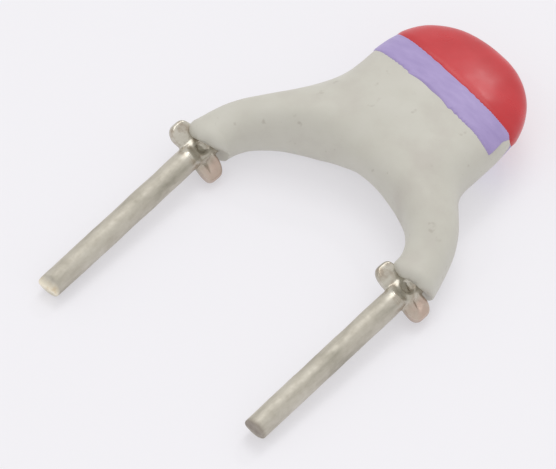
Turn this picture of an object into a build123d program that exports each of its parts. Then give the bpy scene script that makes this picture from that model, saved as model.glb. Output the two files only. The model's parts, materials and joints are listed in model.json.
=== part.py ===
"""Ceramic disc capacitor: a lacquered disc on two pinched wire leads, lying on its back.

The parts are first drawn in the lead frame: the two wire axes lie in the plane Z = 0, parallel
to Y and symmetric about X = 0, the flanges sit at Y = 0 and the disc is towards +Y. The whole
capacitor is then tilted about X and lifted, so that it rests on the surface Z = 0 on its belly
and its two wire tips, with the origin under the middle of its bounding box. Millimetres.
"""

import math
import os

from build123d import *

# Leads
lead_pitch = 5.08          # between the two wire axes
wire_diameter = 0.50
lead_length = 4.30         # from the middle of the flange to the clipped tip
tip_bevel_angle = 14       # the cutter leaves the end face this far off square, degrees
lead_bend_radius = 0.70
knee_rise = 0.20           # from the flange's upper edge to the knee where the wire leans inwards
lead_touchdown = 0.45      # the wire reaches the disc's face this far outside its edge
lead_end_inset = 0.55      # wire ends stop this far to either side of the disc's middle
lead_end_drop = 0.25       # and this far short of it

# Pinched flange on each lead
flange_width = 1.36
flange_length = 0.56       # along the wire
flange_thickness = 0.20
flange_corner = 0.20
flange_edge = 0.04         # rounding of the rolled-out edges
pinch_radius = 0.30        # radius of the bars that squeeze the wire
pinch_draw_in = 0.14       # the squared core between the ears is this much under the wire
left_flange_turn = 30      # about the wire, the ear on the +X side is the lower one
right_flange_turn = 25

# Ceramic disc, its electrodes and the solder
disc_diameter = 3.00
disc_thickness = 0.26
electrode_margin = 0.22    # bare ceramic rim around each electrode
electrode_thickness = 0.02
solder_length = 1.20
solder_beside_wire = 0.21  # solder to either side of the wire
solder_over_axis = 0.05    # and this far past its axis
solder_slope = 24          # degrees off upright

# Lacquer
rim_cover = 0.22           # lacquer outside the disc's edge
belly_cover = 0.10         # lacquer over the wires on the disc
leg_cover = 0.21           # over and under the wire at the flange end of a leg
leg_side_cover = 0.25      # beside the wire there
leg_gap = 0.08             # from the flange's upper edge to the lacquer
arch_height = 1.58         # crown of the arch between the legs
arch_lean = 0.12           # the arch's left flank stands this much further in
web_height = 0.49          # from the crown of the arch to the disc's edge
disc_shift = 0.25          # the disc sits this far to the +X side
disc_turn = 8.5            # the disc and its paint lean clockwise, degrees
disc_lift = 0.20           # middle plane of the disc above the plane of the leads
body_taper = 0.26          # the body thins towards its top
thickest_at = -0.35        # place of the belly across a section, -1 at the arch and 1 at the rim
profile_power = 2.4        # 2 would be an ellipse, more is squarer
rib_count = 25             # sections along the horseshoe
points_per_side = 8        # of each section, from the outline over one face to the arch
leg_share = 0.24           # of the outline, over which a leg fills out to the belly
rib_lead = 0.13            # how far the ribs' arch ends run ahead of their outer ends in the legs

# Outline of the lacquer, from the left leg's foot round to the right one's
left_leg_line = ((0.05, 0.00), (0.26, 0.56), (0.92, 1.45))   # inwards of the foot and above it
dome_line = (              # angle from the disc's leaning +X axis, and reach beyond the rim cover
    (219, 0.57), (207, 0.11), (180, -0.02), (145, 0.11), (100, 0.00),
    (55, 0.00), (15, 0.00), (-12, 0.11), (-26, 0.42),
)
right_leg_line = ((0.54, 1.36), (0.16, 0.60), (0.00, 0.00))

# Paint
red_thickness = 0.05
violet_thickness = 0.04
red_edge = 0.55            # above the middle of the disc, along its leaning axis
violet_edge = -0.01
violet_gap_height = 0.30   # bare strip on the +X rim, across the thickness

wire_radius = wire_diameter / 2
disc_radius = disc_diameter / 2
seat_height = disc_thickness / 2 + electrode_thickness
belly_half_thickness = seat_height + wire_diameter + belly_cover
leg_half_thickness = wire_radius + leg_cover
leg_width = wire_diameter + 2 * leg_side_cover
leg_bottom = flange_length / 2 + leg_gap
lead_knee = flange_length / 2 + knee_rise
coated_radius = disc_radius + rim_cover
disc_middle = Vector(disc_shift, arch_height + web_height + disc_radius, disc_lift)
disc_plane = Plane(disc_middle).rotated((0, 0, -disc_turn))
big = 3 * (lead_pitch + lead_length + disc_diameter)


def smooth_step(value):
    """0 below 0, 1 above 1 and an even S between them."""
    value = min(max(value, 0), 1)
    return value * value * (3 - 2 * value)


def middle_height(y):
    """Height of the body's middle surface: level with the wires below, with the disc above."""
    return disc_lift * smooth_step((y - leg_bottom) / (arch_height + web_height - leg_bottom))


def dome_point(angle, reach):
    """A point this far beyond the coated rim, angle counted from the disc's leaning +X axis."""
    reach += coated_radius
    angle = math.radians(angle - disc_turn)
    return Vector(
        disc_middle.X + reach * math.cos(angle),
        disc_middle.Y + reach * math.sin(angle),
    )


def outer_rail(grow):
    """Outline from the left leg over the dome to the right leg, grown outwards by grow."""
    foot = lead_pitch / 2 + leg_width / 2 + grow
    points = [Vector(inwards - foot, leg_bottom + up) for inwards, up in left_leg_line]
    points += [dome_point(angle, reach + grow) for angle, reach in dome_line]
    points += [Vector(foot - inwards, leg_bottom + up) for inwards, up in right_leg_line]
    return Spline(points)


def arch_point(share, grow):
    """A point of the arch, a half ellipse that grow makes smaller, from left to right."""
    half_span = lead_pitch / 2 - leg_width / 2 - grow
    rise = arch_height - leg_bottom - grow
    swing = math.sin(2 * math.pi * share)
    angle = math.pi * (1 - share - rib_lead * swing)
    lean = arch_lean * max(swing, 0)
    return Vector(half_span * math.cos(angle) + lean, leg_bottom + rise * math.sin(angle))


def rib(outer, share, grow):
    """Closed section of the lacquer at a share of the way along outline and arch."""
    inside = arch_point(share, grow)
    outside = outer @ share
    inside = Vector(inside.X, inside.Y, middle_height(inside.Y))
    outside = Vector(outside.X, outside.Y, middle_height(outside.Y))
    centre = (inside + outside) * 0.5
    reach = (outside - inside) * 0.5
    fullness = smooth_step(min(share, 1 - share) / leg_share)
    half_thickness = leg_half_thickness + (belly_half_thickness - leg_half_thickness) * fullness
    half_thickness += grow
    edges = []
    for up_sign in (1, -1):
        points = []
        for index in range(points_per_side + 1):
            angle = math.pi * index / points_per_side
            along = math.copysign(abs(math.cos(angle)) ** (2 / profile_power), math.cos(angle))
            up = math.sin(angle) ** (2 / profile_power)
            up *= up_sign * half_thickness * (1 - body_taper * fullness * (along - thickest_at))
            points.append(centre + reach * along + Vector(0, 0, up))
        edges.append(Spline(points))
    return Wire(edges)


def lacquer_form(grow=0.0):
    """The closed outer form of the lacquer, lofted through ribs fanned around the arch."""
    outer = outer_rail(grow)
    return Solid.make_loft(rib(outer, index / (rib_count - 1), grow) for index in range(rib_count))


def lead_path(side):
    """Wire axis from the tip to its end on the disc; side is -1 on the left, 1 on the right."""
    x = side * lead_pitch / 2
    face = disc_middle.Z - side * (seat_height + wire_radius)
    end = Vector(disc_middle.X + side * lead_end_inset, disc_middle.Y - lead_end_drop, face)
    knee = Vector(x, lead_knee, 0)
    heading = Vector(knee.X - disc_middle.X, knee.Y - disc_middle.Y, 0).normalized()
    landing = disc_middle + heading * (disc_radius + lead_touchdown)
    landing = Vector(landing.X, landing.Y, face)
    return FilletPolyline(
        (x, -lead_length, 0), knee, landing, end, radius=lead_bend_radius
    )


def pinched_flange(side):
    """Rolled-out ears and, between them, the squared core of the wire, dented by two bars."""
    turn = left_flange_turn if side < 0 else right_flange_turn
    outline = RectangleRounded(flange_width, flange_length, flange_corner)
    ears = extrude(outline, flange_thickness / 2, both=True)
    ears = fillet(ears.faces().filter_by(Axis.Z).edges(), flange_edge)
    core_width = wire_diameter - pinch_draw_in
    core = Box(core_width, flange_length, core_width)
    bar = Rot(0, 90, 0) * Cylinder(pinch_radius, flange_width)
    offset = flange_thickness / 2 + pinch_radius
    core = core - Pos(0, 0, offset) * bar - Pos(0, 0, -offset) * bar
    return Pos(side * lead_pitch / 2, 0, 0) * Rot(0, turn, 0) * (ears + core)


def lead(side):
    """One tinned wire with its flange, its clipped tip and its end on the disc."""
    path = lead_path(side)
    wire = sweep(Plane(path @ 0, z_dir=path % 0) * Circle(wire_radius), path)
    gap = Pos(side * lead_pitch / 2, 0, 0) * Box(lead_pitch / 2, flange_length, lead_pitch)
    wire = wire - gap + pinched_flange(side)
    cutter = Pos(side * lead_pitch / 2, -lead_length, 0) * Rot(tip_bevel_angle, 0, 0)
    waste = cutter * Pos(0, -wire_diameter, 0) * Box(big, 2 * wire_diameter, big)
    return wire - waste


def solder_joint(side, wire):
    """Solder wedged between the wire's end and the electrode."""
    path = lead_path(side)
    end = path @ 1
    heading = path % 1
    face = disc_middle.Z - side * seat_height
    back = solder_length / 2 - wire_radius
    middle = Vector(end.X - heading.X * back, end.Y - heading.Y * back, face)
    base = Plane(middle, x_dir=heading, z_dir=(0, 0, -side))
    width = wire_diameter + 2 * solder_beside_wire
    height = wire_radius + solder_over_axis
    mound = extrude(base * SlotOverall(solder_length, width), height, taper=solder_slope)
    return mound - wire


def electrode(side):
    """Silver layer on one face of the disc."""
    radius = disc_radius - electrode_margin
    height = -side * (disc_thickness + electrode_thickness) / 2
    return Pos(*disc_middle) * Pos(0, 0, height) * Cylinder(radius, electrode_thickness)


def painted_zone(low, high):
    """The slab across the disc, along its leaning axis, between two painted lines."""
    return disc_plane * Pos(0, (low + high) / 2, 0) * Box(big, high - low, big)


def paint_coats(form):
    """Red dipped tip over a violet band that leaves the +X rim bare."""
    red = (lacquer_form(red_thickness) & painted_zone(red_edge, big)) - form
    violet = (lacquer_form(violet_thickness) & painted_zone(violet_edge, red_edge)) - form
    gap = Box(2 * rim_cover, big, violet_gap_height)
    return red, violet - disc_plane * Pos(coated_radius, 0, 0) * gap


def build():
    """Every part in the lead frame, by the name of its file."""
    parts = {"ceramic_disc": Pos(*disc_middle) * Cylinder(disc_radius, disc_thickness)}
    parts["front_electrode"] = electrode(-1)
    parts["rear_electrode"] = electrode(1)
    parts["left_lead"] = lead(-1)
    parts["right_lead"] = lead(1)
    parts["front_solder_joint"] = solder_joint(-1, parts["left_lead"])
    parts["rear_solder_joint"] = solder_joint(1, parts["right_lead"])
    form = lacquer_form()
    lacquer = form
    for inner in list(parts.values()):
        lacquer = lacquer - inner
    parts["lacquer_coating"] = lacquer
    parts["red_tip"], parts["violet_band"] = paint_coats(form)
    return parts


def resting(parts):
    """Tilts and lifts the parts until belly and wire tips meet the surface Z = 0."""
    belly = parts["lacquer_coating"]
    support_span = lead_length + disc_middle.Y - disc_radius
    tilt = 0.0
    for _ in range(4):
        angle = math.radians(tilt)
        tips = -lead_length * math.sin(angle) - wire_radius * math.cos(angle)
        rise = (Rot(tilt, 0, 0) * belly).bounding_box().min.Z - tips
        tilt -= math.degrees(math.atan2(rise, support_span))
    tilted = [Rot(tilt, 0, 0) * part for part in parts.values()]
    box = Compound(children=[Compound(part.solids()) for part in tilted]).bounding_box()
    place = Pos(-box.center().X, -box.center().Y, -box.min.Z) * Rot(tilt, 0, 0)
    print("tilt", round(tilt, 3), "origin of the lead frame", (place * Pos(0, 0, 0)).position)
    return {name: place * part for name, part in parts.items()}


os.makedirs("parts", exist_ok=True)
for name, part in resting(build()).items():
    export_step(part, f"parts/{name}.step")
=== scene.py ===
"""Looks of the ceramic disc capacitor, built around its CAD frame.

The detailed meshes are drawn in millimetres in the lead frame: wire axes in the plane Z = 0 and
parallel to Y, flanges at Y = 0, disc towards +Y. The two pin mounts of the record give that
frame's place in the scene, so every piece lies where its CAD solid lies.
"""

import json
import math

import bmesh
import bpy
import numpy as np
from mathutils import Matrix, Vector, noise


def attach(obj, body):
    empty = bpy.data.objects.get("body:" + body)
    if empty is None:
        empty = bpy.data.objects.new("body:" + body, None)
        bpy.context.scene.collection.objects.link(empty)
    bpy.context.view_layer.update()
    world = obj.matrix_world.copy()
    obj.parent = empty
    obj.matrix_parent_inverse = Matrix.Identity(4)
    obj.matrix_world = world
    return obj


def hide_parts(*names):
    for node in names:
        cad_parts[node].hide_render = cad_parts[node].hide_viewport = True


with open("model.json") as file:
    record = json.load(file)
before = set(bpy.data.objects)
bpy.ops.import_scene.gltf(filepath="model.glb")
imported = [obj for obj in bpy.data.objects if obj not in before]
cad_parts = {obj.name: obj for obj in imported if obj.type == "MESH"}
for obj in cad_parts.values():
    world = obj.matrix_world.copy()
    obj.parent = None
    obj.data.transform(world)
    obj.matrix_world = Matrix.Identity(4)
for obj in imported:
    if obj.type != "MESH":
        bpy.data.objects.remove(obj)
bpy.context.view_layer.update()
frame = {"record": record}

# ---- the body's sizes, as the CAD model has them, millimetres
LEAD_PITCH = 5.08
WIRE_RADIUS = 0.25
LEAD_LENGTH = 4.30
PIN_MIDDLE = 2.29          # the mounts' points lie this far from the flange towards the tips
LEG_BOTTOM = 0.36
LEG_WIDTH = 1.00
LEG_HALF_THICKNESS = 0.46
BELLY_HALF_THICKNESS = 0.735
ARCH_HEIGHT = 1.58
ARCH_LEAN = 0.12
WEB_HEIGHT = 0.49
DISC_RADIUS = 1.50
COATED_RADIUS = 1.72
DISC_SHIFT = 0.25
DISC_TURN = 8.5
DISC_LIFT = 0.20
BODY_TAPER = 0.26
THICKEST_AT = -0.35
PROFILE_POWER = 2.4
LEG_SHARE = 0.24
RIB_LEAD = 0.13
RED_EDGE = 0.55            # the paint lines, above the disc's middle
VIOLET_EDGE = -0.05
RED_LEAN = 0.17            # the lines run lower on the upper face, by this share of its height
VIOLET_LEAN = 0.10

# outline of the body, from the left foot round to the right one: inwards of the foot and above it
# on the legs, angle from the disc's leaning axis and reach beyond the rim on the dome
LEFT_LEG_LINE = ((0.05, 0.00), (0.26, 0.56), (0.92, 1.45))
DOME_LINE = ((219, 0.54), (207, 0.07), (180, -0.06), (145, 0.10), (100, 0.00),
             (55, 0.00), (15, -0.02), (-12, 0.07), (-26, 0.36))
RIGHT_LEG_LINE = ((0.58, 1.36), (0.19, 0.60), (0.02, 0.00))

# the dipped coat
COAT_SWELL = 0.018         # slow unevenness
COAT_GRAIN = 0.005         # fine unevenness
COAT_SETBACK = 0.006       # keeps the uneven coat inside the CAD solid
CAP_STEPS = 10             # rings that round off a leg's end
CAP_SHRINK = 0.45
CAP_POWER = 1.3
LIP_DROP = 0.11            # how far the leg's end runs down over the flange
LIP_ABOVE = 0.15           # more of that on the upper face
LIP_BESIDE = 0.04          # less of it towards +X
LIP_UNEVEN = 0.07
LIP_LEAST = 0.02

# the paint on it
PAINT_ROOT = 0.06          # how far the skins of paint reach into the body
RED_THICKNESS = 0.046
RED_ROUNDING = 0.14        # the width over which the red reaches that thickness
VIOLET_THICKNESS = 0.022
VIOLET_ROUNDING = 0.06
VIOLET_UNDER_RED = 0.12    # how far the band runs on under the red
BARE_RIM_FROM = 1.60       # the band leaves the rim bare beyond this place across the disc
BARE_RIM_TOP = 0.42        # and below this height

# the wires, the flange's punch and the clipped tips
WIRE_FULLNESS = 0.985      # the uneven wire as a share of its round size
WIRE_WAVES = 0.012
WIRE_DENTS = 0.006
WIRE_SCUFFS = 0.002
WIRE_FROM = 0.28           # the plain wire starts this far above its clipped tip
WIRE_FINE_FROM = -0.43     # its rings stand closer from here
WIRE_TO = 0.50             # and it ends here, inside the lacquer
WIRE_AROUND = 64
SHOULDER_START = -0.30     # along the wire from the middle of the flange
SHOULDER_LENGTH = 0.24
SQUEEZED_HALF = 0.135      # half thickness of the squeezed wire
SQUEEZED_WIDER = 0.15      # the share by which it is wider there
PUNCH_MIDDLE = 0.09        # above the middle of the flange
PUNCH_RADIUS = 0.12
PUNCH_DEPTH = 0.11
PUNCH_FLOOR = -0.02        # the dent goes no deeper into the wire than this height
TIP_BEVEL = 14             # degrees
TIP_FACET = {-1: 0.85, 1: 0.20}   # slope of the upper facet on each side
TIP_FACET_FROM = 0.02
TIP_SETBACK = 0.032
TIP_UNEVEN = 0.010
TIP_RINGS = ((0.02, 0.0), (0.5, 0.0), (0.90, 0.0), (0.98, 0.012), (1.0, 0.04))  # size, setback
BLEND_SIZE = 0.017         # grid on which the wire and its ears become one skin

# the ears
EAR_HALF_WIDTH = 0.655
EAR_HALF_LENGTH = 0.275
EAR_HALF_THICKNESS = 0.088
EAR_CORNERS = (0.52, 0.62)   # below 1 the outline is fuller than an ellipse, across and along
EAR_ROUNDING = 0.085
EAR_WAIST = 0.30           # the share by which the plate narrows at the wire
EAR_WAIST_WIDTH = 0.24
EAR_SLANT = 0.05
EAR_DROOP = 0.05
EAR_UNEVEN = 0.03
EAR_THICKENING = 0.25      # the plate is this much thicker at its ends than EAR_THIN says
EAR_THIN = 0.85
EAR_AROUND = 128
EAR_LEVELS = 12
LEFT_TURN = 30             # degrees by which each flange is turned about its wire
RIGHT_TURN = 25

STATIONS = 260             # along the horseshoe
AROUND = 144               # around each section

# ---- where the tin is worn and darkened, and where the clipped ends get a painted highlight and painted shade, millimetres of the scene: across the leads, and along them
LOWER_EARS = ((-2.32, 0.0), (-2.20, 1.0), (-1.70, 1.0), (-1.60, 0.0),
              (2.76, 0.0), (2.88, 1.0), (3.40, 1.0))
FLANGE_STRETCH = ((-1.05, 0.0), (-0.85, 1.0), (-0.10, 1.0), (0.10, 0.0))
CUT_STRETCH = ((-4.77, 1.0), (-4.68, 0.0))      # the clipped ends
# painted light on the cut faces: a painted highlight on the left tip, painted shade on the right
# one
CUT_HIGHLIGHT_AND_SHADE = ((-0.1, 0.0), (0.1, 1.0))           # bright on the left tip, dark on the right one

# ---- the view, in degrees and millimetres of the lead frame
VIEW_AZIMUTH = 40.6
VIEW_ELEVATION = 52.6
VIEW_AIM = (-0.403, -0.253)
VIEW_WIDTH = 10.41
VIEW_DISTANCE = 300.0      # far enough for almost no perspective
SENSOR_WIDTH = 36.0

# ---- the stage, in metres and watts: each lamp's name, place, size and power
FLOOR_HALF = 0.4
FLOOR_GLOW = 0.5
ROOM_LIGHT = 0.80
LAMPS = (("key", (-0.06, 0.08, 0.19), 0.12, 0.07),
         ("rear", (-0.043, 0.150, 0.124), 0.018, 0.022),
         ("front", (-0.079, -0.091, 0.159), 0.02, 0.006))

DISC_MIDDLE = (DISC_SHIFT, ARCH_HEIGHT + WEB_HEIGHT + DISC_RADIUS)


# ---------------------------------------------------------------- the lead frame

def lead_frame():
    """Matrix from millimetres in the lead frame to metres in the scene."""
    pins = {mount["name"]: mount for mount in frame["record"]["mounts"]}
    left = Vector(pins["left_pin"]["pos_m"])
    right = Vector(pins["right_pin"]["pos_m"])
    up_leads = -Vector(pins["left_pin"]["axis"]).normalized()
    across = (right - left).normalized()
    normal = across.cross(up_leads)
    origin = (left + right) / 2 + up_leads * PIN_MIDDLE / 1000
    turn = Matrix((across, up_leads, normal)).transposed().to_4x4()
    return Matrix.Translation(origin) @ turn @ Matrix.Scale(0.001, 4)


TO_SCENE = lead_frame()


# ---------------------------------------------------------------- small tools

def smooth_step(value):
    """0 below 0, 1 above 1 and an even S between them."""
    value = np.clip(value, 0.0, 1.0)
    return value * value * (3 - 2 * value)


def natural_spline(points, shares):
    """Points of a natural cubic spline at shares of its chord length."""
    points = np.array(points, float)
    steps = np.linalg.norm(np.diff(points, axis=0), axis=1)
    knots = np.concatenate(([0], np.cumsum(steps)))
    count = len(points)
    system = np.eye(count)
    right = np.zeros_like(points)
    for i in range(1, count - 1):
        system[i, i - 1] = steps[i - 1]
        system[i, i] = 2 * (steps[i - 1] + steps[i])
        system[i, i + 1] = steps[i]
        slope_after = (points[i + 1] - points[i]) / steps[i]
        slope_before = (points[i] - points[i - 1]) / steps[i - 1]
        right[i] = 6 * (slope_after - slope_before)
    bend = np.linalg.solve(system, right)
    result = []
    for share in shares:
        place = share * knots[-1]
        i = int(np.clip(np.searchsorted(knots, place) - 1, 0, count - 2))
        a = (knots[i + 1] - place) / steps[i]
        b = (place - knots[i]) / steps[i]
        curve = ((a ** 3 - a) * bend[i] + (b ** 3 - b) * bend[i + 1]) * steps[i] ** 2 / 6
        result.append(a * points[i] + b * points[i + 1] + curve)
    return np.array(result)


def lumps(point, size, seed):
    """Smooth noise from -1 to 1 with features of about that size in millimetres."""
    place = Vector(point) / size + Vector((seed * 7.3, seed * 3.1, seed * 5.7))
    return noise.noise(place)


def make_object(name, vertices, faces):
    """An object whose mesh is given in the lead frame, moved to its place in the scene."""
    mesh = bpy.data.meshes.new(name)
    mesh.from_pydata([tuple(v) for v in vertices], [], faces)
    mesh.transform(TO_SCENE)
    mesh.validate()
    for polygon in mesh.polygons:
        polygon.use_smooth = True
    thing = bpy.data.objects.new(name, mesh)
    bpy.context.scene.collection.objects.link(thing)
    return thing


# ---------------------------------------------------------------- the lacquered body

def middle_height(y):
    """Height of the body's middle surface over the plane of the leads."""
    return DISC_LIFT * smooth_step((y - LEG_BOTTOM) / (ARCH_HEIGHT + WEB_HEIGHT - LEG_BOTTOM))


def dome_point(angle, reach):
    """A point this far beyond the coated rim, angle counted from the disc's leaning +X axis."""
    reach += COATED_RADIUS
    angle = math.radians(angle - DISC_TURN)
    return (DISC_MIDDLE[0] + reach * math.cos(angle), DISC_MIDDLE[1] + reach * math.sin(angle))


def outline_points():
    """The body's outline from the left leg over the dome to the right leg."""
    foot = LEAD_PITCH / 2 + LEG_WIDTH / 2
    points = [(inwards - foot, LEG_BOTTOM + up) for inwards, up in LEFT_LEG_LINE]
    points += [dome_point(angle, reach) for angle, reach in DOME_LINE]
    points += [(foot - inwards, LEG_BOTTOM + up) for inwards, up in RIGHT_LEG_LINE]
    return points


def arch_points(shares):
    """Points of the arch between the legs, a leaning half ellipse, from left to right."""
    swing = np.sin(2 * math.pi * shares)
    angle = math.pi * (1 - shares - RIB_LEAD * swing)
    half_span = LEAD_PITCH / 2 - LEG_WIDTH / 2
    rise = ARCH_HEIGHT - LEG_BOTTOM
    across = half_span * np.cos(angle) + ARCH_LEAN * np.maximum(swing, 0)
    return np.stack([across, LEG_BOTTOM + rise * np.sin(angle)], axis=1)


def body_grid():
    """Vertices of the closed body, one ring for each station along the horseshoe."""
    shares = np.linspace(0, 1, STATIONS)
    outer = natural_spline(outline_points(), shares)
    inner = arch_points(shares)
    angles = np.linspace(0, 2 * math.pi, AROUND, endpoint=False)
    along = np.sign(np.cos(angles)) * np.abs(np.cos(angles)) ** (2 / PROFILE_POWER)
    up = np.sign(np.sin(angles)) * np.abs(np.sin(angles)) ** (2 / PROFILE_POWER)
    rings = []
    for share, outside, inside in zip(shares, outer, inner):
        outside = np.array([*outside, middle_height(outside[1])])
        inside = np.array([*inside, middle_height(inside[1])])
        centre = (outside + inside) / 2
        reach = (outside - inside) / 2
        fullness = smooth_step(min(share, 1 - share) / LEG_SHARE)
        half = LEG_HALF_THICKNESS + (BELLY_HALF_THICKNESS - LEG_HALF_THICKNESS) * fullness
        height = up * half * (1 - BODY_TAPER * fullness * (along - THICKEST_AT))
        ring = centre + along[:, None] * reach
        ring[:, 2] += height
        rings.append(ring)
    return np.array(rings)


def leg_cap(ring, seed):
    """Rings from a leg's end inwards, which round it off with an uneven lip over the flange.

    The lip hangs lowest on the upper face.
    """
    centre = ring.mean(axis=0)
    rings = []
    for step in range(1, CAP_STEPS + 1):
        turn = math.radians(90 * step / CAP_STEPS)
        shrink = 1 - CAP_SHRINK * (1 - math.cos(turn)) ** CAP_POWER
        new = centre + (ring - centre) * shrink
        for index in range(len(new)):
            beside = (ring[index][0] - centre[0]) / (LEG_WIDTH / 2)
            above = (ring[index][2] - centre[2]) / LEG_HALF_THICKNESS
            drop = LIP_DROP + LIP_ABOVE * above - LIP_BESIDE * beside
            drop += LIP_UNEVEN * lumps(ring[index], size=0.38, seed=seed)
            drop = max(drop, LIP_LEAST)
            new[index] += np.array([0, -drop * math.sin(turn), 0])
        rings.append(new)
    return rings


def closed_tube(rings):
    """Vertices and faces of a tube through the rings, closed by one face at each end."""
    rings = np.array(rings)
    count, around = rings.shape[:2]
    vertices = rings.reshape(-1, 3)
    faces = []
    for i in range(count - 1):
        for j in range(around):
            k = (j + 1) % around
            low, high = i * around, (i + 1) * around
            faces.append((low + j, low + k, high + k, high + j))
    faces.append(tuple(reversed(range(around))))
    faces.append(tuple(range((count - 1) * around, count * around)))
    return vertices, faces


def ring_normals(vertices, faces):
    """Outward unit normals at the vertices."""
    normals = np.zeros_like(vertices)
    for face in faces:
        a, b, c = vertices[face[0]], vertices[face[1]], vertices[face[2]]
        normal = np.cross(b - a, c - a)
        for index in face:
            normals[index] += normal
    lengths = np.linalg.norm(normals, axis=1, keepdims=True)
    return normals / np.maximum(lengths, 1e-12)


def body_surface():
    """The body's vertices, faces and outward normals, with the unevenness of a dipped coat."""
    grid = body_grid()
    rings = leg_cap(grid[0], seed=1)[::-1] + list(grid) + leg_cap(grid[-1], seed=2)
    vertices, faces = closed_tube(rings)
    normals = ring_normals(vertices, faces)
    if np.mean(np.einsum("ij,ij->i", normals, vertices - vertices.mean(axis=0))) < 0:
        faces = [tuple(reversed(face)) for face in faces]
        normals = -normals
    for index, vertex in enumerate(vertices):
        swell = COAT_SWELL * lumps(vertex, size=0.9, seed=3)
        swell += COAT_GRAIN * lumps(vertex, size=0.30, seed=4)
        vertices[index] = vertex + normals[index] * (swell - COAT_SETBACK)
    return vertices, faces, normals


def height_on_disc(point):
    """Distance of a point above the disc's middle, along its leaning axis, and across it."""
    turn = math.radians(-DISC_TURN)
    x = point[0] - DISC_MIDDLE[0]
    y = point[1] - DISC_MIDDLE[1]
    return -x * math.sin(turn) + y * math.cos(turn), x * math.cos(turn) + y * math.sin(turn)


def paint_skin(name, surface, coat_at):
    """A closed skin of paint wherever coat_at gives more than nothing, cut along its zero line."""
    vertices, faces, normals = surface
    coat = np.array([coat_at(vertex) for vertex in vertices])
    kept = [face for face in faces if max(coat[list(face)]) > 0]
    used = sorted({index for face in kept for index in face})
    place = {index: number for number, index in enumerate(used)}
    crossings = {}
    for face in kept:
        for bare in face:
            if coat[bare] > 0:
                continue
            for wet in face:
                if coat[wet] > 0:
                    share = -coat[bare] / (coat[wet] - coat[bare])
                    crossings.setdefault(bare, set()).add((share, wet))
    outer = []
    inner = []
    for index in used:
        point = vertices[index]
        if index in crossings:
            shifts = [share * (vertices[wet] - point) for share, wet in crossings[index]]
            point = point + np.mean(shifts, axis=0)
        outer.append(point + normals[index] * max(coat[index], 0))
        inner.append(point - normals[index] * PAINT_ROOT)
    front = [tuple(place[i] for i in face) for face in kept]
    back = [tuple(place[i] + len(used) for i in reversed(face)) for face in kept]
    edges = {(a, b) for face in front for a, b in zip(face, face[1:] + face[:1])}
    rim = [(b, a, a + len(used), b + len(used)) for a, b in edges if (b, a) not in edges]
    return make_object(name, outer + inner, front + back + rim)


def paint_thickness(inside, full, rounding):
    """Thickness of paint at this distance inside its edge; outside it falls below nothing."""
    return full * math.sqrt(max(min(inside / rounding, 1), 0)) + min(inside, 0)


def red_coat(point):
    """Thickness of the red dip: it ends in a slightly wavy, rounded edge."""
    height = height_on_disc(point)[0]
    edge = RED_EDGE - RED_LEAN * point[2]
    edge += 0.020 * lumps(point, size=0.7, seed=5) + 0.006 * lumps(point, size=0.2, seed=6)
    return paint_thickness(height - edge, RED_THICKNESS, RED_ROUNDING)


def violet_coat(point):
    """Thickness of the violet band, which leaves the +X rim bare."""
    height, across = height_on_disc(point)
    edge = VIOLET_EDGE - VIOLET_LEAN * point[2]
    edge += 0.030 * lumps(point, size=0.6, seed=7) + 0.006 * lumps(point, size=0.25, seed=8)
    inside = min(height - edge, RED_EDGE + VIOLET_UNDER_RED - RED_LEAN * point[2] - height)
    if point[2] < BARE_RIM_TOP:
        bare_edge = BARE_RIM_FROM + 0.04 * lumps(point, size=0.3, seed=9)
        inside = min(inside, bare_edge - across)
    return paint_thickness(inside, VIOLET_THICKNESS, VIOLET_ROUNDING)


# ---------------------------------------------------------------- the leads

def wire_section(y, seed):
    """Half width and half thickness of the squeezed wire at a place along it."""
    waves = lumps((seed, y, 0), size=0.5, seed=seed)
    radius = WIRE_RADIUS * (WIRE_FULLNESS + WIRE_WAVES * waves)
    squeeze = smooth_step((y - SHOULDER_START) / SHOULDER_LENGTH)
    half_width = radius * (1 + SQUEEZED_WIDER * squeeze)
    return half_width, radius - (radius - SQUEEZED_HALF) * squeeze


def punched(x, y):
    """Depth of the round dent in the middle of the flange."""
    away = math.hypot(x, y - PUNCH_MIDDLE) / PUNCH_RADIUS
    return PUNCH_DEPTH * math.exp(-away ** 4)


def wire_rings(side, turn, seed):
    """Rings of the wire from its clipped tip to inside the lacquer."""
    x = side * LEAD_PITCH / 2
    places = np.concatenate([
        np.linspace(-LEAD_LENGTH + WIRE_FROM, -0.45, 150),
        np.linspace(WIRE_FINE_FROM, WIRE_TO, 90),
    ])
    angles = np.linspace(0, 2 * math.pi, WIRE_AROUND, endpoint=False)
    rings = []
    for y in places:
        a, b = wire_section(y, seed)
        heights = b * np.sin(angles)
        ring = np.stack([a * np.cos(angles), np.full(WIRE_AROUND, y), heights], axis=1)
        for index in range(WIRE_AROUND):
            point = ring[index]
            if point[2] > 0:
                point[2] = max(point[2] - punched(point[0], y), PUNCH_FLOOR)
            place = point + np.array([x, 0, 0])
            uneven = WIRE_DENTS * lumps(place, size=0.35, seed=seed + 1)
            uneven += WIRE_SCUFFS * lumps(place, size=0.10, seed=seed + 2)
            out = np.array([math.cos(angles[index]), 0, math.sin(angles[index])])
            ring[index] = point + out * (uneven - WIRE_DENTS)
        rings.append(turned(ring, turn, x))
    return rings


def turned(points, turn, x):
    """Turns points about the Y axis like the flange and moves them to the wire's axis."""
    angle = math.radians(turn)
    result = np.array(points, float)
    result[:, 0] = points[:, 0] * math.cos(angle) + points[:, 2] * math.sin(angle) + x
    result[:, 2] = -points[:, 0] * math.sin(angle) + points[:, 2] * math.cos(angle)
    return result


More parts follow.
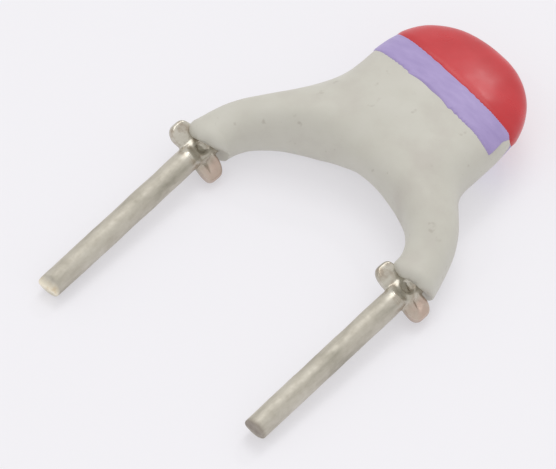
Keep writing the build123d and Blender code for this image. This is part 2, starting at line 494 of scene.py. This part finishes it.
def tip_rings(side, turn, seed):
    """Rings of the clipped end: a slanting cut face with a second, upper facet."""
    first = wire_rings(side, turn, seed)[0]
    x = side * LEAD_PITCH / 2
    centre = np.array([x, -LEAD_LENGTH, 0])
    rings = []
    for shrink, back in TIP_RINGS:
        ring = first.copy()
        for index, point in enumerate(first):
            across = (point - centre) * shrink
            slant = across[2] * math.tan(math.radians(TIP_BEVEL))
            facet = max(across[2] - TIP_FACET_FROM, 0) * TIP_FACET[side]
            rise = back + facet + TIP_UNEVEN * lumps(point * shrink, size=0.12, seed=seed)
            y = -LEAD_LENGTH + TIP_SETBACK - slant + rise
            ring[index] = (x + across[0], y, across[2])
        rings.append(ring)
    return np.array(rings)


def ears(side, turn, seed):
    """The two rolled-out ears as one rounded plate, dented where the punch met the wire."""
    rings = []
    for level in range(EAR_LEVELS + 1):
        lift = math.pi * (level / EAR_LEVELS - 0.5)
        edge = EAR_ROUNDING * (1 - math.cos(lift) ** 0.5)
        ring = []
        for index in range(EAR_AROUND):
            angle = 2 * math.pi * index / EAR_AROUND
            cos, sin = math.cos(angle), math.sin(angle)
            px = math.copysign(abs(cos) ** EAR_CORNERS[0], cos) * EAR_HALF_WIDTH
            py = math.copysign(abs(sin) ** EAR_CORNERS[1], sin) * EAR_HALF_LENGTH
            waist = 1 - EAR_WAIST * math.exp(-(px / EAR_WAIST_WIDTH) ** 2)
            px *= 1 - edge / EAR_HALF_WIDTH
            py *= waist * (1 - edge / EAR_HALF_LENGTH)
            py -= EAR_SLANT * px / EAR_HALF_WIDTH
            px += EAR_UNEVEN * lumps((px, py, 0), size=0.3, seed=seed + 3)
            py += EAR_UNEVEN * lumps((px, py, 0), size=0.3, seed=seed + 4)
            thickness = EAR_THIN + EAR_THICKENING * abs(px) / EAR_HALF_WIDTH
            pz = EAR_HALF_THICKNESS * math.sin(lift) * thickness
            pz += EAR_UNEVEN * lumps((px, py, 0), size=0.40, seed=seed + 5)
            pz -= EAR_DROOP * (px / EAR_HALF_WIDTH) ** 2
            if lift > 0:
                pz -= punched(px, py) * math.sin(lift)
            ring.append((px, py, pz))
        rings.append(turned(np.array(ring), turn, side * LEAD_PITCH / 2))
    return rings


def lead(name, side, turn, seed):
    """One lead as a single blended mesh: wire, squeezed middle, ears and clipped tip."""
    rings = list(tip_rings(side, turn, seed)) + wire_rings(side, turn, seed)
    vertices, faces = closed_tube(rings)
    plate_vertices, plate_faces = closed_tube(ears(side, turn, seed))
    offset = len(vertices)
    vertices = np.concatenate([vertices, plate_vertices])
    faces = faces + [tuple(i + offset for i in face) for face in plate_faces]
    return blended(name, vertices, faces)


def blended(name, vertices, faces):
    """Unites overlapping closed shells into one smooth skin, worked out in millimetres."""
    mesh = bpy.data.meshes.new(name + "_shells")
    mesh.from_pydata([tuple(v) for v in vertices], [], faces)
    shape = bmesh.new()
    shape.from_mesh(mesh)
    bmesh.ops.recalc_face_normals(shape, faces=shape.faces)
    shape.to_mesh(mesh)
    shape.free()
    rough = bpy.data.objects.new(name + "_shells", mesh)
    bpy.context.scene.collection.objects.link(rough)
    remesh = rough.modifiers.new("blend", "REMESH")
    remesh.mode = "VOXEL"
    remesh.voxel_size = BLEND_SIZE
    remesh.use_smooth_shade = True
    smooth = rough.modifiers.new("soften", "SMOOTH")
    smooth.factor = 0.5
    smooth.iterations = 4
    evaluated = rough.evaluated_get(bpy.context.evaluated_depsgraph_get())
    final = bpy.data.meshes.new_from_object(evaluated)
    bpy.data.objects.remove(rough)
    final.name = name
    final.transform(TO_SCENE)
    for polygon in final.polygons:
        polygon.use_smooth = True
    thing = bpy.data.objects.new(name, final)
    bpy.context.scene.collection.objects.link(thing)
    return thing


# ---------------------------------------------------------------- materials

def linear(red, green, blue):
    """A screen colour from 0 to 255 as linear values with full alpha."""
    values = []
    for value in (red, green, blue):
        value /= 255
        values.append(value / 12.92 if value <= 0.04045 else ((value + 0.055) / 1.055) ** 2.4)
    return (*values, 1.0)


class Shader:
    """A material with a Principled shader and short calls for its nodes."""

    def __init__(self, name, roughness, metallic=0.0, specular=0.5):
        self.material = bpy.data.materials.new(name)
        self.material.use_nodes = True
        self.tree = self.material.node_tree
        self.surface = self.tree.nodes["Principled BSDF"]
        self.surface.inputs["Roughness"].default_value = roughness
        self.surface.inputs["Metallic"].default_value = metallic
        self.surface.inputs["Specular IOR Level"].default_value = specular
        self.place = self.tree.nodes.new("ShaderNodeTexCoord").outputs["Object"]

    def node(self, kind, **values):
        node = self.tree.nodes.new(kind)
        for key, value in values.items():
            setattr(node, key, value)
        return node

    def link(self, source, target):
        self.tree.links.new(source, target)

    def noise(self, size, detail=3.0, rough=0.5, stretch=(1, 1, 1)):
        """Noise from 0 to 1 with features of about that size in millimetres."""
        mapping = self.node("ShaderNodeMapping")
        mapping.inputs["Scale"].default_value = [1000 / size * s for s in stretch]
        self.link(self.place, mapping.inputs["Vector"])
        texture = self.node("ShaderNodeTexNoise")
        texture.inputs["Scale"].default_value = 1.0
        texture.inputs["Detail"].default_value = detail
        texture.inputs["Roughness"].default_value = rough
        self.link(mapping.outputs["Vector"], texture.inputs["Vector"])
        return texture.outputs["Fac"]

    def ramp(self, source, stops):
        """Colours or greys along a factor; stops are (place, colour)."""
        node = self.node("ShaderNodeValToRGB")
        elements = node.color_ramp.elements
        while len(elements) < len(stops):
            elements.new(0.5)
        for element, (place, colour) in zip(elements, stops):
            element.position = place
            element.color = colour if hasattr(colour, "__len__") else (colour, colour, colour, 1)
        self.link(source, node.inputs["Fac"])
        return node.outputs["Color"]

    def along(self, source, low, high, stops):
        """Greys along one coordinate; low, high and the stops' places are millimetres."""
        span = self.node("ShaderNodeMapRange")
        span.inputs["From Min"].default_value = low / 1000
        span.inputs["From Max"].default_value = high / 1000
        self.link(source, span.inputs["Value"])
        return self.ramp(span.outputs["Result"],
                         [((place - low) / (high - low), grey) for place, grey in stops])

    def mix(self, factor, first, second, blend="MIX"):
        node = self.node("ShaderNodeMix", data_type="RGBA", blend_type=blend)
        for socket, value in ((node.inputs[0], factor), (node.inputs[6], first),
                              (node.inputs[7], second)):
            if hasattr(value, "is_output"):
                self.link(value, socket)
            else:
                socket.default_value = value
        return node.outputs[2]

    def colour(self, source):
        self.link(source, self.surface.inputs["Base Color"])

    def roughness(self, source):
        self.link(source, self.surface.inputs["Roughness"])

    def bump(self, source, distance_mm, strength=1.0, after=None):
        node = self.node("ShaderNodeBump")
        node.inputs["Strength"].default_value = strength
        node.inputs["Distance"].default_value = distance_mm / 1000
        self.link(source, node.inputs["Height"])
        if after:
            self.link(after, node.inputs["Normal"])
        self.link(node.outputs["Normal"], self.surface.inputs["Normal"])
        return node.outputs["Normal"]


def grey_lacquer():
    """Dipped grey-beige lacquer: low satin gloss, faint mottling and a few pits."""
    shader = Shader("grey_lacquer", 0.45, specular=0.4)
    broad = shader.ramp(shader.noise(0.9, 4, 0.55), [
        (0.30, linear(197, 193, 184)),
        (0.52, linear(204, 202, 192)),
        (0.75, linear(208, 206, 197))])
    specks = shader.ramp(shader.noise(0.24, 2, 0.6), [(0.23, 0.0), (0.33, 1.0)])
    shader.colour(shader.mix(specks, linear(188, 184, 174), broad))
    shader.roughness(shader.ramp(shader.noise(0.4, 3), [(0.3, 0.40), (0.7, 0.54)]))
    first = shader.bump(shader.noise(0.35, 4, 0.5), 0.008, 0.5)
    shader.bump(specks, 0.005, 0.4, after=first)
    return shader.material


def violet_paint():
    """Thin brushed violet paint that lets the lacquer's mottling through."""
    shader = Shader("violet_paint", 0.42, specular=0.4)
    tone = shader.ramp(shader.noise(0.5, 4, 0.6, (1, 3, 1)), [
        (0.30, linear(163, 147, 197)),
        (0.60, linear(173, 157, 206)),
        (0.80, linear(180, 166, 211))])
    shader.colour(tone)
    shader.bump(shader.noise(0.3, 3, 0.5, (1, 3, 1)), 0.006, 0.5)
    return shader.material


def red_paint():
    """Thick red dip paint, glossy, a little deeper in colour where it has run together."""
    shader = Shader("red_paint", 0.28, specular=0.5)
    tone = shader.ramp(shader.noise(0.8, 3, 0.5), [
        (0.30, linear(192, 44, 50)),
        (0.60, linear(203, 52, 58)),
        (0.85, linear(209, 63, 68))])
    shader.colour(tone)
    shader.roughness(shader.ramp(shader.noise(0.5, 3), [(0.3, 0.26), (0.7, 0.34)]))
    shader.bump(shader.noise(0.55, 2, 0.5), 0.006, 0.4)
    return shader.material


def tinned_copper():
    """Tinned wire: dull scuffed skin, smooth and partly worn to copper where it is crushed, with
    darker patches near the flange; a painted highlight on the left tip's cut face and painted
    shade on the right one.
    """
    shader = Shader("tinned_copper", 0.55, metallic=0.8)
    streaks = shader.noise(0.26, 5, 0.6, (1, 0.25, 1))
    tin = shader.ramp(streaks, [
        (0.25, linear(170, 166, 153)),
        (0.50, linear(199, 194, 182)),
        (0.75, linear(216, 212, 201))])
    split = shader.node("ShaderNodeSeparateXYZ")
    shader.link(shader.place, split.inputs[0])
    across = shader.along(split.outputs["X"], -4.0, 4.0, LOWER_EARS)
    beside = shader.along(split.outputs["Y"], -1.6, 0.4, FLANGE_STRETCH)
    worn = shader.ramp(shader.noise(0.30, 4, 0.6), [(0.30, 0.45), (0.62, 1.0)])
    copper = shader.mix(1.0, shader.mix(1.0, across, beside, "MULTIPLY"), worn, "MULTIPLY")
    # Darker brownish patches over the flange stretch.
    flange_dark_patches = shader.ramp(shader.noise(0.17, 3, 0.5), [(0.45, 0.0), (0.68, 0.7)])
    flange_dark_patches = shader.mix(1.0, flange_dark_patches, beside, "MULTIPLY")
    tin = shader.mix(flange_dark_patches, tin, linear(164, 150, 132))
    skin = shader.mix(copper, tin, linear(198, 177, 164))
    # The cut faces of the clipped ends: a painted highlight on the left tip, painted shade on the
    # right one.
    shaded_tip_side = shader.along(split.outputs["X"], -4.0, 4.0, CUT_HIGHLIGHT_AND_SHADE)
    cut_end = shader.along(split.outputs["Y"], -4.9, -4.5, CUT_STRETCH)
    smear = shader.noise(0.22, 3, 0.5)
    painted_highlight = shader.ramp(smear, [(0.38, linear(226, 208, 176)), (0.56, linear(252, 246, 228))])
    painted_shade = shader.ramp(smear, [(0.35, linear(146, 136, 127)), (0.65, linear(176, 169, 158))])
    cut_face_highlight_and_shade = shader.mix(shaded_tip_side, painted_highlight, painted_shade)
    shader.colour(shader.mix(cut_end, skin, cut_face_highlight_and_shade))
    scuffed = shader.ramp(shader.noise(0.16, 4, 0.6), [(0.3, 0.50), (0.7, 0.72)])
    shader.roughness(shader.mix(beside, scuffed, (0.26, 0.26, 0.26, 1.0)))
    first = shader.bump(shader.noise(0.12, 4, 0.6, (1, 0.35, 1)), 0.006, 0.5)
    shader.bump(shader.noise(0.6, 2, 0.5), 0.02, 0.5, after=first)
    return shader.material


def plain_inner(name, colour, roughness, metallic=0.0):
    """A hidden inner piece: faint grain only."""
    shader = Shader(name, roughness, metallic)
    darker = tuple(value * 0.85 for value in colour[:3]) + (1.0,)
    shader.colour(shader.ramp(shader.noise(0.15, 3), [(0.3, darker), (0.7, colour)]))
    shader.bump(shader.noise(0.06, 2), 0.003, 0.5)
    return shader.material


# ---------------------------------------------------------------- the object

def dress(thing, slot, material, *nodes):
    """Gives a piece its material and its body, and hides the CAD nodes that it stands for."""
    thing.data.materials.clear()
    thing.data.materials.append(material)
    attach(thing, "root")
    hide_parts(*nodes)


def build_object():
    """The visible pieces, and materials for the CAD pieces inside them."""
    surface = body_surface()
    body = make_object("lacquer_body", surface[0], surface[1])
    dress(body, "grey_lacquer", grey_lacquer(), "lacquer_coating")
    dress(paint_skin("red_dip", surface, red_coat), "red_paint", red_paint(), "red_tip")
    dress(paint_skin("violet_stripe", surface, violet_coat), "violet_paint", violet_paint(),
          "violet_band")
    metal = tinned_copper()
    left = lead("left_wire", side=-1, turn=LEFT_TURN, seed=11)
    dress(left, "tinned_copper", metal, "left_lead")
    right = lead("right_wire", side=1, turn=RIGHT_TURN, seed=21)
    dress(right, "tinned_copper", metal, "right_lead")
    inner = {
        "ceramic_disc": plain_inner("ceramic", linear(222, 212, 192), 0.7),
        "front_electrode": plain_inner("silver", linear(228, 226, 220), 0.35, 1.0),
        "front_solder_joint": plain_inner("solder", linear(205, 203, 198), 0.4, 1.0),
    }
    inner["rear_electrode"] = inner["front_electrode"]
    inner["rear_solder_joint"] = inner["front_solder_joint"]
    for node, material in inner.items():
        thing = bpy.data.objects[node]
        thing.data.materials.clear()
        thing.data.materials.append(material)


# ---------------------------------------------------------------- the stage

def floor():
    """A pale, slightly glossy sheet, lit a little from below as on a light table."""
    half = FLOOR_HALF
    mesh = bpy.data.meshes.new("floor")
    corners = [(-half, -half, 0), (half, -half, 0), (half, half, 0), (-half, half, 0)]
    mesh.from_pydata(corners, [], [(0, 1, 2, 3)])
    thing = bpy.data.objects.new("floor", mesh)
    bpy.context.scene.collection.objects.link(thing)
    shader = Shader("floor", 0.35, specular=0.35)
    shader.surface.inputs["Base Color"].default_value = linear(176, 175, 178)
    shader.surface.inputs["Emission Color"].default_value = linear(240, 239, 244)
    shader.surface.inputs["Emission Strength"].default_value = FLOOR_GLOW
    mesh.materials.append(shader.material)


def area_light(name, place, size, power):
    """A soft square lamp that looks at the object, unseen by the camera."""
    data = bpy.data.lights.new(name, "AREA")
    data.shape = "SQUARE"
    data.size = size
    data.energy = power
    lamp = bpy.data.objects.new(name, data)
    lamp.location = place
    lamp.rotation_euler = (-Vector(place)).to_track_quat("-Z", "Y").to_euler()
    lamp.visible_camera = False
    bpy.context.scene.collection.objects.link(lamp)


def lights():
    """Even room light, a broad soft lamp above and two small ones for the highlights."""
    world = bpy.data.worlds.new("studio")
    world.use_nodes = True
    room = world.node_tree.nodes["Background"]
    room.inputs["Color"].default_value = (1.0, 0.99, 0.98, 1)
    room.inputs["Strength"].default_value = ROOM_LIGHT
    bpy.context.scene.world = world
    for lamp in LAMPS:
        area_light(*lamp)


def camera():
    """A long lens far away, so that the view is almost without perspective."""
    azimuth = math.radians(VIEW_AZIMUTH)
    elevation = math.radians(VIEW_ELEVATION)
    right = Vector((math.cos(azimuth), math.sin(azimuth), 0))
    backwards = Vector((math.cos(elevation) * math.sin(azimuth),
                        -math.cos(elevation) * math.cos(azimuth), math.sin(elevation)))
    up = backwards.cross(right)
    aim = right * VIEW_AIM[0] + up * VIEW_AIM[1]
    data = bpy.data.cameras.new("camera")
    data.sensor_width = SENSOR_WIDTH
    data.lens = SENSOR_WIDTH * VIEW_DISTANCE / VIEW_WIDTH
    data.clip_start = 0.01
    data.clip_end = 5.0
    eye = bpy.data.objects.new("camera", data)
    place = TO_SCENE @ (aim + backwards * VIEW_DISTANCE)
    turn = TO_SCENE.to_3x3().normalized() @ Matrix((right, up, backwards)).transposed()
    eye.matrix_world = Matrix.Translation(place) @ turn.to_4x4()
    bpy.context.scene.collection.objects.link(eye)
    bpy.context.scene.camera = eye


build_object()
floor()
lights()
camera()
bpy.context.scene.view_settings.view_transform = "Standard"
